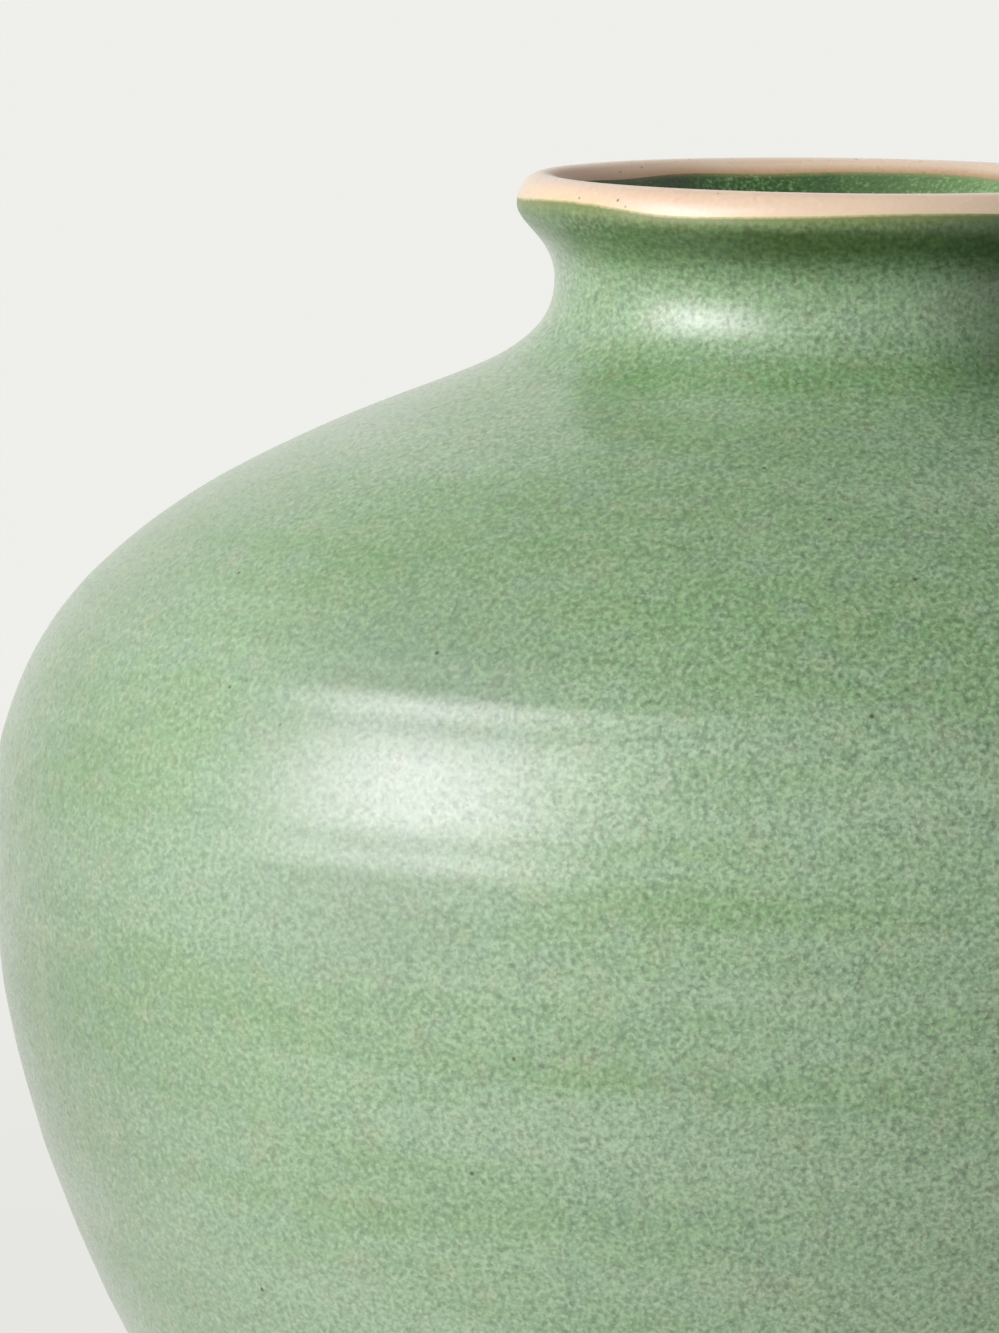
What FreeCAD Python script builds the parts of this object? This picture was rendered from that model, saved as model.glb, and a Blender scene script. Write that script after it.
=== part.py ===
import FreeCAD
import Part
import math
import os

# A squat meiping vase in stoneware: small rolled mouth, high broad shoulder, body narrowing to a turned foot.
# The clay is thrown in three sections and a foot ring, luted together with slip in stepped lap joints.
# Three glaze coats lie on it: a green outer coat, a pale coat over the lip and a green liner.
# Four felt pads with adhesive discs carry it. Z is the wheel axis, and the pads' undersides are at Z = 0.
# Sizes are in millimetres. Radii and heights of the form are those of the bare clay, and the glaze adds to them.

# overall
overall_height = 324.0          # pads' undersides to the top of the glazed lip

# belly and shoulder
belly_radius = 145.4
shoulder_radius = 84.6          # where the shoulder turns from swelling to hollow
shoulder_pitch_deg = 23.8       # the shoulder's slope there, from level
shoulder_drop = 43.6            # from the clay's top down to there
shoulder_rise = 71.5            # from the widest belly up to there

# neck and lip
neck_radius = 48.0              # at the neck's waist
neck_drop = 18.2                # from the clay's top down to the waist
lip_overhang = 6.9              # the lip's widest circle beyond the waist
lip_drop = 5.2                  # from the clay's top down to the lip's widest circle
lip_roll = 4.0                  # from the widest circle in to the ridge
throat_length = 8.0             # straight stretch inside the neck, up from the waist

# foot
foot_radius = 71.0              # outside of the wall at the foot
foot_step = 2.5                 # the foot ring stands in from the wall by this
foot_ring_width = 13.0
foot_ring_height = 8.0
foot_bevel = 1.0                # sponged edges of the foot ring
heel_bevel = 1.2                # trimmed lower edge of the wall

# clay thickness
foot_wall = 8.5
belly_wall = 6.0
shoulder_wall = 6.0
neck_wall = 6.5
floor_thickness = 9.0
floor_bend = 20.0               # reach of the curve from the floor to the wall

# fullness of the outline: each handle's share of the stretch that it lies along
foot_hold_share = 0.26
belly_hold_low_share = 0.435
belly_hold_high_share = 0.54
shoulder_swell_share = 0.62
shoulder_hollow_share = 0.55
neck_hold_share = 0.56
neck_lift_share = 0.56
lip_turn_share = 0.24
round_share = 0.5523            # makes a cubic a quarter ellipse
mouth_ease_share = 0.45
floor_ease_share = 0.55
tongue_place_share = 0.5        # how far through the wall a joint's step lies

# glaze
outer_coat = 0.6
lip_edge_coat = 0.4             # outer glaze at the lip's widest circle, where it runs thin
lip_coat = 0.3
liner_coat = 0.5
heel_line_rise = 3.5            # the outer glaze stops this far above the clay's heel
lip_line_drop = 3.5             # and this far below the clay's top
inner_line_drop = 2.4           # the liner starts this far below the clay's top

# luted joints: a step in the wall, filled with slip
slip_thickness = 0.4
body_joint_drop = 62.0          # from the widest belly down to the joint
body_tongue = 5.0               # height of the step
neck_joint_drop = 11.5          # from the neck's waist down to the joint
neck_tongue = 3.5

# pads
pad_count = 4
pad_thickness = 1.5
adhesive_thickness = 0.2
pad_margin = 0.5                # flat of the foot ring left bare on each side of a pad

# drawing
offset_points = 17              # points along each curve that runs beside another
halvings = 60                   # steps of the search for a height on a curve
tolerance = 0.0001
full_turn_deg = 360.0
first_pad_deg = 45.0

# worked-out places
clay_top = overall_height - lip_coat
ring_bottom = pad_thickness + adhesive_thickness
ring_top = ring_bottom + foot_ring_height
heel = ring_top + slip_thickness
wall_foot = heel + heel_bevel
floor_top = heel + floor_thickness
shoulder_height = clay_top - shoulder_drop
belly_height = shoulder_height - shoulder_rise
neck_height = clay_top - neck_drop
lip_height = clay_top - lip_drop
throat_top = neck_height + throat_length
lip_radius = neck_radius + lip_overhang
ridge_radius = lip_radius - lip_roll
throat_radius = neck_radius - neck_wall
ring_outer = foot_radius - foot_step
ring_inner = ring_outer - foot_ring_width
body_joint = belly_height - body_joint_drop
neck_joint = neck_height - neck_joint_drop
heel_line = heel + heel_line_rise
lip_line = clay_top - lip_line_drop
inner_line = clay_top - inner_line_drop


def at(radius, height):
    return FreeCAD.Vector(radius, 0, height)


axis_point = at(0, 0)
up_way = at(0, 1)
out_way = at(1, 0)


# curves, all of them climbing

def bezier(start, start_hold, end_hold, end):
    curve = Part.BezierCurve()
    curve.setPoles([start, start_hold, end_hold, end])
    return curve.toBSpline()


def beside(curve, near, far):
    # runs to the right of a climbing curve, near from its start, and eases to far from its end
    first, last = curve.FirstParameter, curve.LastParameter
    points = []
    for i in range(offset_points):
        share = i / (offset_points - 1)
        parameter = first + (last - first) * share
        along = curve.tangent(parameter)[0]
        distance = near + (far - near) * (1 - math.cos(math.pi * share)) / 2
        points.append(curve.value(parameter) + at(along.z, -along.x) * distance)
    moved = Part.BSplineCurve()
    moved.interpolate(
        Points=points,
        InitialTangent=curve.tangent(first)[0],
        FinalTangent=curve.tangent(last)[0],
    )
    return moved


def parameter_at(curve, height):
    low, high = curve.FirstParameter, curve.LastParameter
    for _ in range(halvings):
        middle = (low + high) / 2
        if curve.value(middle).z < height:
            low = middle
        else:
            high = middle
    return (low + high) / 2


def radius_at(chain, height):
    for curve in chain:
        if curve.value(curve.LastParameter).z >= height:
            return curve.value(parameter_at(curve, height)).x
    raise ValueError("height above the chain")


def outer_clay_curves():
    pitch = math.radians(shoulder_pitch_deg)
    foot = at(foot_radius, wall_foot)
    belly = at(belly_radius, belly_height)
    shoulder = at(shoulder_radius, shoulder_height)
    neck = at(neck_radius, neck_height)
    lip = at(lip_radius, lip_height)
    ridge = at(ridge_radius, clay_top)
    shoulder_way = at(-math.cos(pitch), math.sin(pitch))
    low_rise = up_way * (belly_height - wall_foot)
    high_rise = up_way * shoulder_rise
    neck_rise = up_way * (neck_height - shoulder_height)
    lip_rise = up_way * (lip_height - neck_height)
    swell = shoulder_way * (belly_radius - shoulder_radius)
    hollow = shoulder_way * (shoulder_radius - neck_radius)
    return [
        bezier(foot, foot + low_rise * foot_hold_share, belly - low_rise * belly_hold_low_share, belly),
        bezier(belly, belly + high_rise * belly_hold_high_share, shoulder - swell * shoulder_swell_share, shoulder),
        bezier(shoulder, shoulder + hollow * shoulder_hollow_share, neck - neck_rise * neck_hold_share, neck),
        bezier(neck, neck + lip_rise * neck_lift_share, lip - lip_rise * lip_turn_share, lip),
        bezier(lip, lip + up_way * lip_drop * round_share, ridge + out_way * lip_roll * round_share, ridge),
    ]


def outer_face_curves(clay):
    return [
        beside(clay[0], outer_coat, outer_coat),
        beside(clay[1], outer_coat, outer_coat),
        beside(clay[2], outer_coat, outer_coat),
        beside(clay[3], outer_coat, lip_edge_coat),
        beside(clay[4], lip_edge_coat, lip_coat),
    ]


def floor_curve(wall, height):
    # eases from the level floor into the wall, which it meets at this height
    parameter = parameter_at(wall, height + floor_bend)
    meeting = wall.value(parameter)
    start = at(meeting.x - floor_bend, height)
    ease = floor_bend * floor_ease_share
    return bezier(start, start + out_way * ease, meeting - wall.tangent(parameter)[0] * ease, meeting)


def inner_clay_curves(clay):
    lower_wall = beside(clay[0], -foot_wall, -belly_wall)
    bend = floor_curve(lower_wall, floor_top)
    lower_wall.segment(parameter_at(lower_wall, floor_top + floor_bend), lower_wall.LastParameter)
    throat = Part.LineSegment(at(throat_radius, neck_height), at(throat_radius, throat_top))
    mouth_start = at(throat_radius, throat_top)
    mouth_end = at(ridge_radius, clay_top)
    lift = up_way * (clay_top - throat_top) * mouth_ease_share
    reach = out_way * (ridge_radius - throat_radius) * mouth_ease_share
    return [
        bend,
        lower_wall,
        beside(clay[1], -belly_wall, -shoulder_wall),
        beside(clay[2], -shoulder_wall, -neck_wall),
        throat,
        bezier(mouth_start, mouth_start + lift, mouth_end - reach, mouth_end),
    ]


def inner_face_curves(inner):
    face_radius = throat_radius - liner_coat
    faces = [beside(curve, -liner_coat, -liner_coat) for curve in inner[:4]]
    faces.append(Part.LineSegment(at(face_radius, neck_height), at(face_radius, throat_top)))
    faces.append(beside(inner[5], -liner_coat, -lip_coat))
    return faces


def parted(chain, heights):
    # the same curves, cut at the heights where a neighbour's edge lies on them
    parts = []
    for curve in chain:
        first, last = curve.FirstParameter, curve.LastParameter
        bottom, top = curve.value(first).z, curve.value(last).z
        inside = [height for height in heights if bottom + tolerance < height < top - tolerance]
        if not inside:
            parts.append(curve)
            continue
        cuts = [first] + [parameter_at(curve, height) for height in inside] + [last]
        for start, end in zip(cuts, cuts[1:]):
            part = curve.copy()
            part.segment(start, end)
            parts.append(part)
    return parts


whole_outer_clay = outer_clay_curves()
whole_inner_clay = inner_clay_curves(whole_outer_clay)
outer_face = outer_face_curves(whole_outer_clay)
inner_face = inner_face_curves(whole_inner_clay)
outer_clay = parted(whole_outer_clay, [
    heel_line,
    body_joint,
    body_joint + slip_thickness,
    neck_joint,
    neck_joint + slip_thickness,
    lip_line,
])
inner_clay = parted(whole_inner_clay, [
    body_joint + body_tongue,
    body_joint + body_tongue + slip_thickness,
    neck_joint + neck_tongue,
    neck_joint + neck_tongue + slip_thickness,
    inner_line,
])


# outlines: a piece is a corner point, or an edge with its first and last points in the order of travel

def climb(chain, low=None, high=None):
    pieces = []
    for curve in chain:
        first, last = curve.FirstParameter, curve.LastParameter
        bottom, top = curve.value(first).z, curve.value(last).z
        if low is not None:
            if top <= low + tolerance:
                continue
            if bottom < low:
                first = parameter_at(curve, low)
        if high is not None:
            if bottom >= high - tolerance:
                continue
            if top > high:
                last = parameter_at(curve, high)
        pieces.append((curve.toShape(first, last), curve.value(first), curve.value(last)))
    return pieces


def descend(chain, high=None, low=None):
    return [(edge, end, start) for edge, start, end in reversed(climb(chain, low, high))]


def section(pieces):
    # closes the pieces in order with straight edges
    edges = []
    for i, piece in enumerate(pieces):
        following = pieces[(i + 1) % len(pieces)]
        here = piece
        if isinstance(piece, tuple):
            edges.append(piece[0])
            here = piece[2]
        there = following[1] if isinstance(following, tuple) else following
        if here.distanceToPoint(there) > tolerance:
            edges.append(Part.LineSegment(here, there).toShape())
    return Part.Face(Part.Wire(edges))


def turned(pieces):
    solid = section(pieces).revolve(axis_point, up_way, full_turn_deg)
    if solid.Volume < 0:
        solid.reverse()
    return solid


# joints: the lower piece's tongue stands inside, and the upper piece's skirt hangs outside it

def tongue_radius(joint, tongue):
    middle = joint + tongue / 2
    outside = radius_at(outer_clay, middle)
    inside = radius_at(inner_clay, middle)
    return outside + (inside - outside) * tongue_place_share


body_tongue_radius = tongue_radius(body_joint, body_tongue)
neck_tongue_radius = tongue_radius(neck_joint, neck_tongue)


def step_in(joint, tongue, radius, gap):
    # the step's two corners on the way in, raised and moved out by the gap
    return [at(radius + gap, joint + gap), at(radius + gap, joint + tongue + gap)]


def step_out(joint, tongue, radius, gap):
    return list(reversed(step_in(joint, tongue, radius, gap)))


def joint_slip(joint, tongue, radius):
    return turned(
        climb(outer_clay, joint, joint + slip_thickness)
        + step_in(joint, tongue, radius, slip_thickness)
        + descend(inner_clay, joint + tongue + slip_thickness, joint + tongue)
        + step_out(joint, tongue, radius, 0)
    )


# clay

def foot_ring():
    return turned([
        at(ring_inner + foot_bevel, ring_bottom),
        at(ring_outer - foot_bevel, ring_bottom),
        at(ring_outer, ring_bottom + foot_bevel),
        at(ring_outer, ring_top),
        at(ring_inner, ring_top),
        at(ring_inner, ring_bottom + foot_bevel),
    ])


def foot_joint_slip():
    return turned([
        at(ring_inner, ring_top),
        at(ring_outer, ring_top),
        at(ring_outer, heel),
        at(ring_inner, heel),
    ])


def lower_body():
    return turned(
        [at(0, heel), at(foot_radius - heel_bevel, heel)]
        + climb(outer_clay, high=body_joint)
        + step_in(body_joint, body_tongue, body_tongue_radius, 0)
        + descend(inner_clay, high=body_joint + body_tongue)
        + [at(0, floor_top)]
    )


def body_joint_slip():
    return joint_slip(body_joint, body_tongue, body_tongue_radius)


def shoulder():
    return turned(
        climb(outer_clay, body_joint + slip_thickness, neck_joint)
        + step_in(neck_joint, neck_tongue, neck_tongue_radius, 0)
        + descend(inner_clay, neck_joint + neck_tongue, body_joint + body_tongue + slip_thickness)
        + step_out(body_joint, body_tongue, body_tongue_radius, slip_thickness)
    )


def neck_joint_slip():
    return joint_slip(neck_joint, neck_tongue, neck_tongue_radius)


def neck_collar():
    return turned(
        climb(outer_clay, low=neck_joint + slip_thickness)
        + descend(inner_clay, low=neck_joint + neck_tongue + slip_thickness)
        + step_out(neck_joint, neck_tongue, neck_tongue_radius, slip_thickness)
    )


# glaze

def outer_glaze():
    return turned(climb(outer_clay, heel_line, lip_line) + descend(outer_face, lip_line, heel_line))


def lip_glaze():
    return turned(
        climb(outer_clay, low=lip_line)
        + descend(inner_clay, low=inner_line)
        + climb(inner_face, low=inner_line)
        + descend(outer_face, low=lip_line)
    )


def inner_glaze():
    return turned(
        [at(0, floor_top)]
        + climb(inner_clay, high=inner_line)
        + descend(inner_face, high=inner_line)
        + [at(0, floor_top + liner_coat)]
    )


# pads

def pad_discs(bottom, thickness):
    pad_radius = (foot_ring_width - 2 * foot_bevel) / 2 - pad_margin
    circle_radius = (ring_outer + ring_inner) / 2
    discs = []
    for i in range(pad_count):
        turn = math.radians(first_pad_deg + full_turn_deg * i / pad_count)
        centre = FreeCAD.Vector(circle_radius * math.cos(turn), circle_radius * math.sin(turn), bottom)
        discs.append(Part.makeCylinder(pad_radius, thickness, centre, up_way))
    return Part.makeCompound(discs)


def felt_pads():
    return pad_discs(0, pad_thickness)


def pad_adhesive():
    return pad_discs(pad_thickness, adhesive_thickness)


makers = [
    foot_ring,
    foot_joint_slip,
    lower_body,
    body_joint_slip,
    shoulder,
    neck_joint_slip,
    neck_collar,
    outer_glaze,
    lip_glaze,
    inner_glaze,
    felt_pads,
    pad_adhesive,
]

os.makedirs("parts", exist_ok=True)
for maker in makers:
    shape = maker()
    shape.exportStep("parts/" + maker.__name__ + ".step")
    box = shape.BoundBox
    print(
        maker.__name__, "solids", len(shape.Solids), "valid", shape.isValid(),
        "volume", round(shape.Volume), "widest", round(box.XMax, 2),
        "from", round(box.ZMin, 2), "to", round(box.ZMax, 2),
    )
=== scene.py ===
import math

import bpy
import numpy as np
from mathutils import Matrix, Vector, noise


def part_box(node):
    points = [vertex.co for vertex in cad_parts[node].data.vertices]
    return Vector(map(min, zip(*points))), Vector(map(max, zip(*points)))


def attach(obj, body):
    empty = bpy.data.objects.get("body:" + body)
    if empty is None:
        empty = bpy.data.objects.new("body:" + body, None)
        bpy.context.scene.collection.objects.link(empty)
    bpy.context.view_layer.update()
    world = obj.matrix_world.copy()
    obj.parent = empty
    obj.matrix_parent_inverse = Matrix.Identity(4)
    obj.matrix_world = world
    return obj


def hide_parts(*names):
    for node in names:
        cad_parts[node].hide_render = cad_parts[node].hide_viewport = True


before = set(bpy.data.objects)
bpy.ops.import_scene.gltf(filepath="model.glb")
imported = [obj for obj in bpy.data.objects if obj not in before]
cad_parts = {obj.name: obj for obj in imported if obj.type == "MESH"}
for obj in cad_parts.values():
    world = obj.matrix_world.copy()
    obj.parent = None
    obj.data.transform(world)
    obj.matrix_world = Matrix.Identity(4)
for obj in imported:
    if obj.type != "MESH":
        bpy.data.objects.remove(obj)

# A squat meiping vase in satin green stoneware glaze with a pale, thinly glazed lip.
# Lengths in the dictionaries are millimetres, angles are degrees, and colours are sRGB hex values.
# In the materials a reach is two values and what they are turned into; left out, that is 0 and 1.

mm = 0.001
fullTurn = 2 * math.pi
quarterTurn = math.pi / 2

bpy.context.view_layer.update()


# small tools

def box(node):
    low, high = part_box(node)
    return Vector(low) / mm, Vector(high) / mm


def linear(hexColour):
    # an sRGB hex colour as linear light
    shares = [int(hexColour[i:i + 2], 16) / 255 for i in (1, 3, 5)]
    return [c / 12.92 if c <= 0.04045 else ((c + 0.055) / 1.055) ** 2.4 for c in shares] + [1.0]


def node(tree, kind, inputs=None, give=0, reach=None, stops=None, **settings):
    # adds one node and hands back one output: settings are its properties, inputs its values or the
    # sockets that feed it, reach is for a map range, and stops are a ramp's places and colours
    made = tree.nodes.new("ShaderNode" + kind)
    for name, value in settings.items():
        setattr(made, name, value)
    if stops:
        elements = made.color_ramp.elements
        while len(elements) < len(stops):
            elements.new(1.0)
        for element, (place, colour) in zip(elements, stops):
            element.position = place
            element.color = linear(colour)
    values = dict(inputs or {})
    values.update(zip(("From Min", "From Max", "To Min", "To Max"), reach or ()))
    for key, value in values.items():
        if isinstance(value, bpy.types.NodeSocket):
            tree.links.new(value, made.inputs[key])
        elif isinstance(value, str):
            made.inputs[key].default_value = linear(value)
        else:
            made.inputs[key].default_value = value
    return made.outputs[give] if made.outputs else None


def perMm(size):
    # the scale that makes one cell of a pattern this many millimetres wide
    return 1 / (size * mm)


def inMm(reach):
    # a reach whose two values are millimetres, in the metres that the nodes work in
    near, far, *levels = reach
    return near * mm, far * mm, *levels


def newMaterial(name):
    material = bpy.data.materials.new(name)
    material.use_nodes = True
    tree = material.node_tree
    tree.nodes.clear()
    return material, tree, node(tree, "TexCoord", give="Object")


def finishMaterial(tree, shader):
    node(tree, "OutputMaterial", {"Surface": shader})


def specks(tree, place, g):
    # round specks, soft at the edge, at the dictionary's size and spacing
    away = node(tree, "TexVoronoi", {"Vector": place, "Scale": perMm(g["speckSpacing"])})
    radius = g["speckRadius"] / g["speckSpacing"]
    near, far = g["speckEdge"]
    return node(tree, "MapRange", {"Value": away}, reach=(radius * near, radius * far, g["speckShare"], 0.0))


def layered(tree, colour, g, *layers):
    # lays the dictionary's colours over one another, each by its share
    for share, name in layers:
        colour = node(tree, "Mix", {0: share, 6: colour, 7: g[name]}, give=2, data_type="RGBA")
    return colour


# the vase's outline, climbing outside, over the lip and down inside to the floor's middle

outline = {
    "bellyRadius": 145.4,
    "shoulderRadius": 84.6,
    "shoulderPitch": 23.8,
    "shoulderDrop": 43.6,
    "shoulderRise": 71.5,
    "neckRadius": 48.0,
    "neckDrop": 18.2,
    "lipOverhang": 6.9,
    "lipDrop": 5.2,
    "lipRoll": 4.0,
    "throatLength": 8.0,
    "footRadius": 71.0,
    "heelBevel": 1.2,
    "footWall": 8.5,
    "bellyWall": 6.0,
    "neckWall": 6.5,
    "floorBend": 20.0,
    "holdShares": {
        "foot": 0.26, "bellyLow": 0.435, "bellyHigh": 0.54, "swell": 0.62, "hollow": 0.55,
        "neck": 0.56, "neckLift": 0.56, "lipTurn": 0.24, "round": 0.5523, "mouth": 0.45, "floor": 0.55,
    },
    "outerCoat": 0.6,
    "lipEdgeCoat": 0.4,
    "lipCoat": 0.3,
    "linerCoat": 0.5,
    "samples": 500,
}


def bezier(start, startHold, endHold, end):
    t = np.linspace(0, 1, outline["samples"])[:, None]
    start, startHold, endHold, end = (np.array(p, float) for p in (start, startHold, endHold, end))
    return (
        (1 - t) ** 3 * start + 3 * (1 - t) ** 2 * t * startHold
        + 3 * (1 - t) * t ** 2 * endHold + t ** 3 * end
    )


def rightHand(points):
    # unit vectors to the right of the way that the points run
    along = np.gradient(points, axis=0)
    along /= np.linalg.norm(along, axis=1)[:, None]
    return np.stack([along[:, 1], -along[:, 0]], 1)


def eased(near, far, count):
    return near + (far - near) * (1 - np.cos(math.pi * np.linspace(0, 1, count))) / 2


def outerCurves(clayTop, heel):
    # five curves from the foot to the lip's ridge
    o, hold = outline, outline["holdShares"]
    up, out = np.array([0.0, 1.0]), np.array([1.0, 0.0])
    pitch = math.radians(o["shoulderPitch"])
    shoulderWay = np.array([-math.cos(pitch), math.sin(pitch)])
    foot = np.array([o["footRadius"], heel + o["heelBevel"]])
    shoulder = np.array([o["shoulderRadius"], clayTop - o["shoulderDrop"]])
    belly = np.array([o["bellyRadius"], shoulder[1] - o["shoulderRise"]])
    neck = np.array([o["neckRadius"], clayTop - o["neckDrop"]])
    lip = np.array([o["neckRadius"] + o["lipOverhang"], clayTop - o["lipDrop"]])
    ridge = np.array([lip[0] - o["lipRoll"], clayTop])
    lowRise = up * (belly[1] - foot[1])
    highRise = up * o["shoulderRise"]
    neckRise = up * (neck[1] - shoulder[1])
    lipRise = up * (lip[1] - neck[1])
    swell = shoulderWay * (belly[0] - shoulder[0])
    hollow = shoulderWay * (shoulder[0] - neck[0])
    lipHold = lip + up * o["lipDrop"] * hold["round"]
    ridgeHold = ridge + out * o["lipRoll"] * hold["round"]
    return [
        bezier(foot, foot + lowRise * hold["foot"], belly - lowRise * hold["bellyLow"], belly),
        bezier(belly, belly + highRise * hold["bellyHigh"], shoulder - swell * hold["swell"], shoulder),
        bezier(shoulder, shoulder + hollow * hold["hollow"], neck - neckRise * hold["neck"], neck),
        bezier(neck, neck + lipRise * hold["neckLift"], lip - lipRise * hold["lipTurn"], lip),
        bezier(lip, lipHold, ridgeHold, ridge),
    ]


def innerCurves(outer, clayTop, floorTop):
    # seven curves from the lip's ridge down to the floor's middle
    o, hold = outline, outline["holdShares"]
    up, out = np.array([0.0, 1.0]), np.array([1.0, 0.0])
    walls = [(o["footWall"], o["bellyWall"]), (o["bellyWall"],) * 2, (o["bellyWall"], o["neckWall"])]
    inner = [
        curve - rightHand(curve) * eased(low, high, len(curve))[:, None]
        for curve, (low, high) in zip(outer, walls)
    ]
    inner[0] = inner[0][inner[0][:, 1] > floorTop + o["floorBend"]]
    meeting = inner[0][0]
    climb = inner[0][1] - inner[0][0]
    climb /= np.linalg.norm(climb)
    bendStart = np.array([meeting[0] - o["floorBend"], floorTop])
    ease = o["floorBend"] * hold["floor"]
    bend = bezier(bendStart, bendStart + out * ease, meeting - climb * ease, meeting)
    throatRadius = o["neckRadius"] - o["neckWall"]
    throatLow = clayTop - o["neckDrop"]
    throat = bezier(*(
        (throatRadius, throatLow + o["throatLength"] * third / 3) for third in range(4)
    ))
    ridge = outer[-1][-1]
    mouth = bezier(
        throat[-1], throat[-1] + up * (clayTop - throat[-1][1]) * hold["mouth"],
        ridge - out * (ridge[0] - throatRadius) * hold["mouth"], ridge,
    )
    floor = bezier(*(bendStart * (third / 3, 1) for third in range(4)))
    return [curve[::-1] for curve in (mouth, throat, inner[2], inner[1], inner[0], bend, floor)]


def outlinePath():
    o = outline
    clayTop = box("lip_glaze")[1].z - o["lipCoat"]
    outer = outerCurves(clayTop, box("lower_body")[0].z)
    inner = innerCurves(outer, clayTop, box("inner_glaze")[0].z)
    chains = outer + inner
    coatEnds = [(o["outerCoat"],) * 2] * 3 + [
        (o["outerCoat"], o["lipEdgeCoat"]), (o["lipEdgeCoat"], o["lipCoat"]), (o["lipCoat"], o["linerCoat"]),
    ] + [(o["linerCoat"],) * 2] * 6
    coats = [eased(near, far, len(curve)) for curve, (near, far) in zip(chains, coatEnds)]
    points = np.concatenate([chains[0]] + [curve[1:] for curve in chains[1:]])
    coat = np.concatenate([coats[0]] + [values[1:] for values in coats[1:]])
    along = np.concatenate([[0], np.cumsum(np.linalg.norm(np.diff(points, axis=0), axis=1))])
    ridgePlace = along[sum(len(curve) for curve in outer) - len(outer)]
    return {"along": along, "points": points, "normals": rightHand(points), "coat": coat, "ridge": ridgePlace}


path = outlinePath()


def placeAt(height, inside=False):
    # how far along the path the clay reaches this height, outside or inside the vase
    half = path["along"] > path["ridge"] if inside else path["along"] <= path["ridge"]
    heights, places = path["points"][half, 1], path["along"][half]
    way = -1 if inside else 1
    return float(np.interp(height, heights[::way], places[::way]))


def follow(along, lift=0.0):
    # radius and height of points this far along the path, raised off the clay by lift
    radius, height, outR, outZ = (
        np.interp(along, path["along"], values)
        for values in (*path["points"].T, *path["normals"].T)
    )
    return radius + outR * lift, height + outZ * lift


def coatAt(along):
    return np.interp(along, path["along"], path["coat"])


# throwing marks: faint spiral rings left by the fingers, worn down under the glaze

throwing = {
    "rings": [   # spacing, height, start in turns
        (5.3, 0.010, 0.10), (8.7, 0.022, 0.62), (13.9, 0.040, 0.35), (23.0, 0.070, 0.80),
    ],
    "swing": 31.0,               # each ring grows and fades over this height
    "steady": 0.6,               # the share of a ring that doesn't fade
    "swingPhases": (9, 5),
    "marks": [   # height on the vase, width, rise or dip
        (251.8, 2.2, 0.090), (245.4, 2.2, 0.250), (241.4, 1.6, -0.035), (239.6, 1.6, 0.030),
        (226.2, 2.0, 0.050), (221.4, 1.8, -0.070), (217.6, 1.8, 0.050),
    ],
    "markDrift": 0.35,
    "markSide": (-122.0, 62.0),  # the marks are plain here and fade away around the vase: middle, reach
    "markFull": 0.35,            # the share of the reach where they are plain
    "markRest": 0.15,            # what is left of them at the back
    "fingerRings": [(13.0, 0.16, 0.2), (17.5, 0.10, 0.7)],
    "lipQuiet": (292.0, 306.0),
    "lipRest": 0.15,
    "deepest": 0.12,
}


def between(values, low, high):
    t = np.clip((values - low) / (high - low), 0, 1)
    return t * t * (3 - 2 * t)


def outsideMarks(height, turn):
    t = throwing
    marks = np.zeros(np.broadcast(height, turn).shape)
    heightPhase, turnPhase = t["swingPhases"]
    for spacing, rise, start in t["rings"]:
        phase = fullTurn * height / t["swing"] + heightPhase * start + np.cos(turn + turnPhase * start)
        swing = t["steady"] + (1 - t["steady"]) * np.sin(phase)
        marks += rise * swing * np.cos(fullTurn * (height / spacing + start) + turn)
    middle, reach = (math.radians(value) for value in t["markSide"])
    fromMiddle = np.abs((turn - middle + math.pi) % fullTurn - math.pi)
    beside = t["markRest"] + (1 - t["markRest"]) * (1 - between(fromMiddle, reach * t["markFull"], reach))
    for place, width, rise in t["marks"]:
        drift = place + t["markDrift"] * np.cos(turn + place)
        marks += rise * beside * np.exp(-((height - drift) / width) ** 2)
    quiet = 1 - (1 - t["lipRest"]) * between(height, *t["lipQuiet"])
    return (marks - t["deepest"] / 2) * quiet


def insideMarks(height, turn):
    marks = np.zeros(np.broadcast(height, turn).shape)
    for spacing, rise, start in throwing["fingerRings"]:
        marks += rise * (1 + np.cos(fullTurn * (height / spacing + start) - turn))
    return marks * (1 - between(height, *throwing["lipQuiet"]))


# glaze lines: where one coat stops, wandering up and down around the vase

lines = {   # each wave: how many times around, rise, start in degrees
    "lip": [(4, 0.25, 4.0), (5, 0.60, 5.0), (8, 0.18, -89.0), (13, 0.06, 40.0)],
    "inner": [(3, 0.30, 50.0), (7, 0.25, -20.0), (11, 0.12, 130.0)],
    "heel": [(3, 0.45, 80.0), (7, 0.30, 15.0), (16, 0.18, 60.0), (29, 0.10, 10.0)],
    "fade": 9.0,
}


def wave(line, turn):
    return sum(rise * np.cos(count * turn - math.radians(start)) for count, rise, start in lines[line])


heelLine = placeAt(box("outer_glaze")[0].z)
lipLine = placeAt(box("lip_glaze")[0].z)
innerLine = placeAt(box("inner_glaze")[1].z, inside=True)
floorMiddle = path["along"][-1]
footSize, bellySize = round(path["points"][0][0], 1), round(box("outer_glaze")[1].x, 1)
print("outline ready: from", footSize, "mm foot to", bellySize, "mm belly")


# meshes turned about the wheel axis

bakeMap = {   # shares of the UV map
    "left": 0.004, "width": 0.992,        # both bands and the hidden strips
    "band": 0.475, "bandStep": 0.485,     # the visible face's two bands, one for each half turn
    "hidden": 0.965, "hiddenBand": 0.03,
    "pole": [0.5, 0.999],
}
sharpAngle = 50.0


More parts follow.
